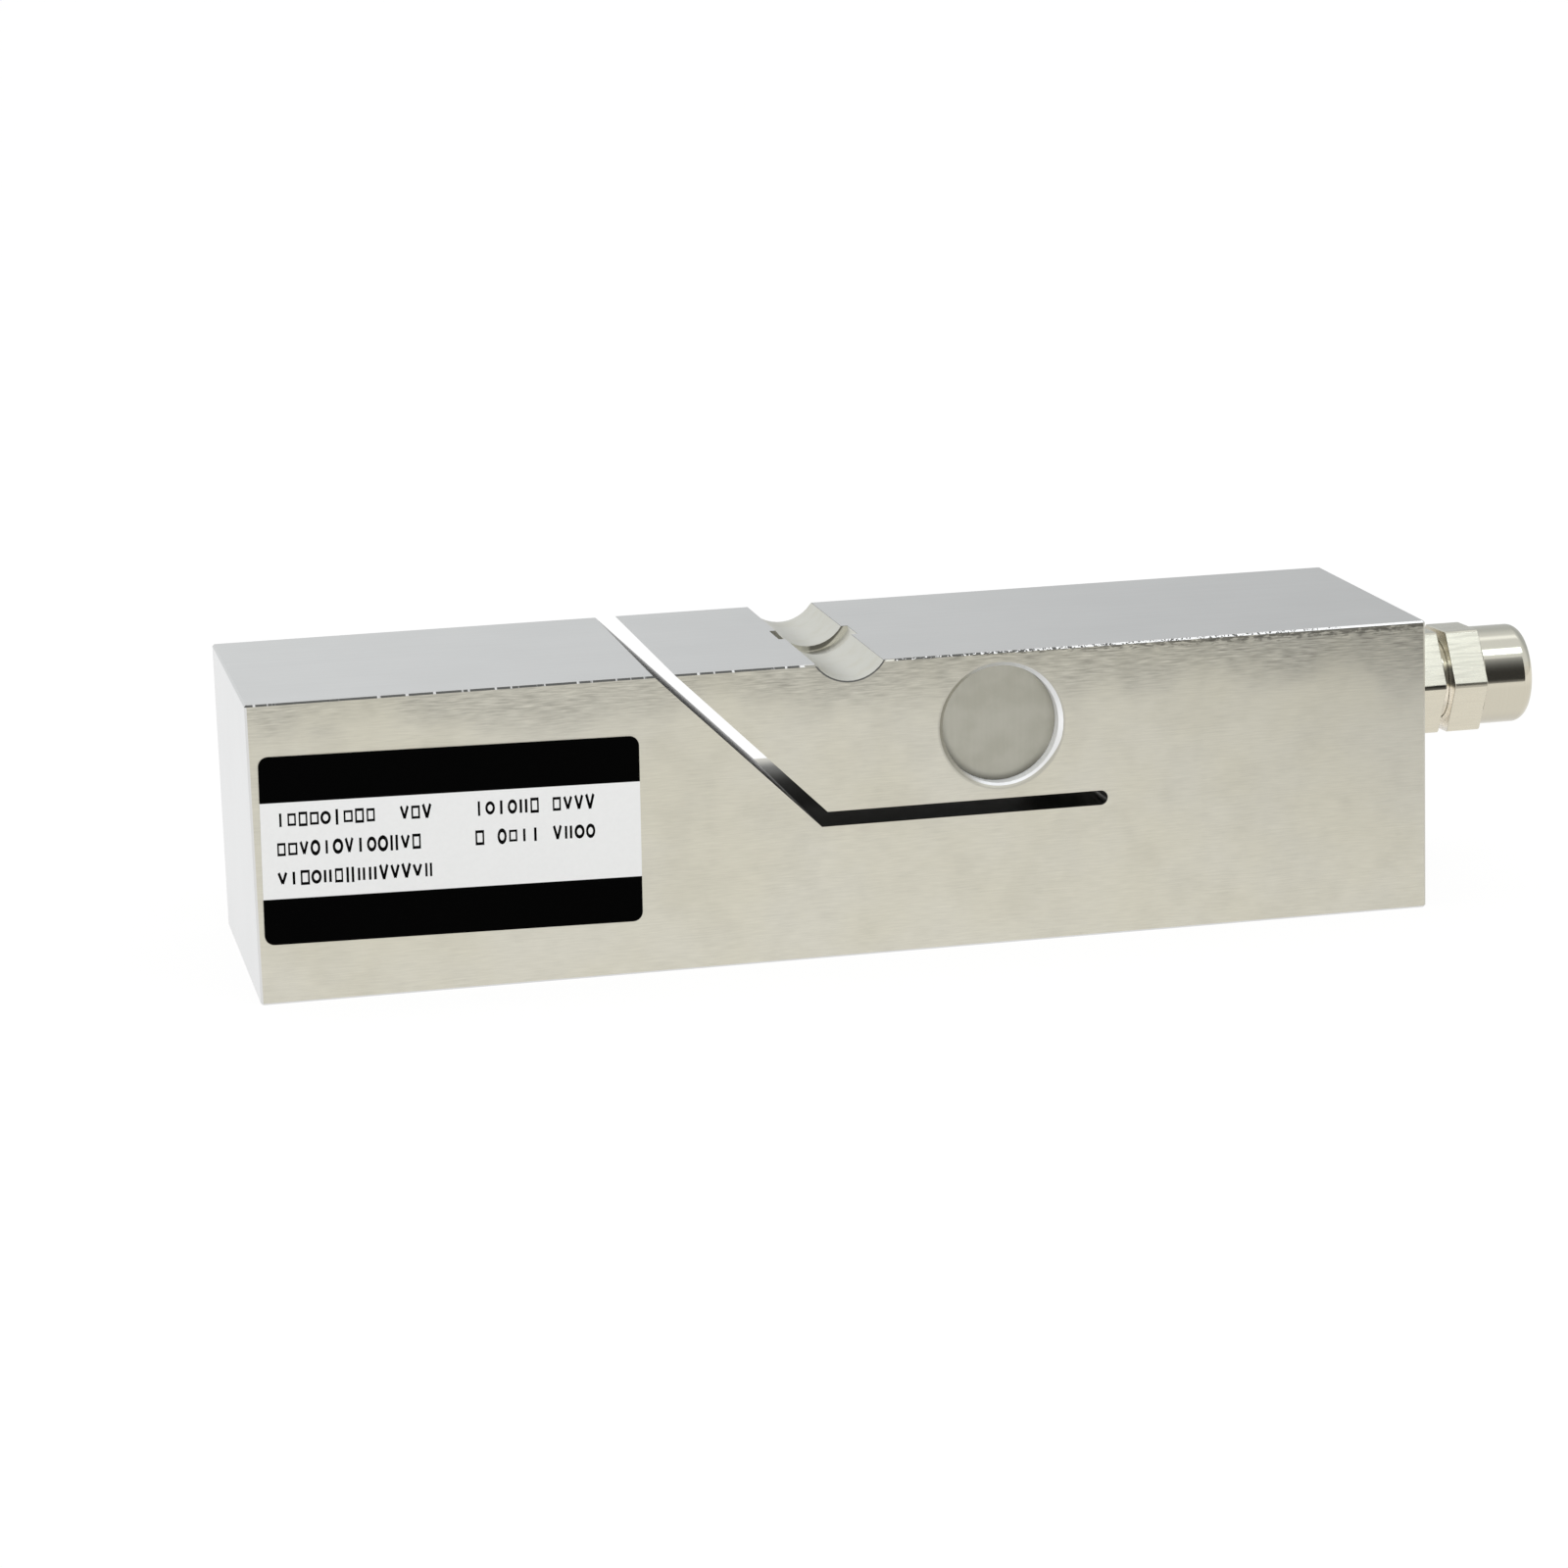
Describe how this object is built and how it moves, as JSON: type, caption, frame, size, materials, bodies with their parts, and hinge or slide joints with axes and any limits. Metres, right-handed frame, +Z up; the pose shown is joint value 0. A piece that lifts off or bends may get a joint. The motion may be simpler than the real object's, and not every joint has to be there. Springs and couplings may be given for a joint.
{
  "type": "cantilever beam load cell",
  "caption": "Rectangular steel beam load cell with a slanted slit that frees a tongue, covered gauge pockets, a load groove across the top and a cable gland at its end.",
  "frame": {"origin": "centre of the beam's base face, straight below the load groove", "axes": "+X along the beam towards the cable gland, +Z up out of the top face, and the label on the -Y side"},
  "size_m": [0.178, 0.0451, 0.04],
  "materials": {
    "beam_steel": "ground and satin plated, with a fine grain along the beam on its sides",
    "cover_steel": "satin sheet disc",
    "gland_nickel": "bright nickel plate on turned brass",
    "seal_rubber": "moulded black rubber",
    "cage_plastic": "moulded dark plastic",
    "label_film": "printed self-adhesive film with dark bands above and below a pale field",
    "gauge_film": "amber backing film with metal foil lines",
    "terminal_board": "glass-epoxy strip with solder pads",
    "lead_copper": "bare copper ribbon",
    "foil_resistor": "foil on amber film",
    "bobbin_resistor": "wire wound on a moulded bobbin"
  },
  "bodies": {
    "root": {"beam_body": "beam_steel", "front_gauge_cover": "cover_steel", "rear_gauge_cover": "cover_steel", "front_strain_gauge": "gauge_film", "rear_strain_gauge": "gauge_film", "front_terminal_board": "terminal_board", "rear_terminal_board": "terminal_board", "front_gauge_leads": "lead_copper", "rear_gauge_leads": "lead_copper", "bridge_link_leads": "lead_copper", "span_temperature_resistor": "foil_resistor", "zero_temperature_resistor": "foil_resistor", "span_trim_resistor": "bobbin_resistor", "zero_trim_resistor": "bobbin_resistor", "gland_gasket": "seal_rubber", "gland_body": "gland_nickel", "gland_clamp_cage": "cage_plastic", "gland_seal_bush": "seal_rubber", "gland_nut": "gland_nickel", "rating_label": "label_film"}
  },
  "joints": []
}
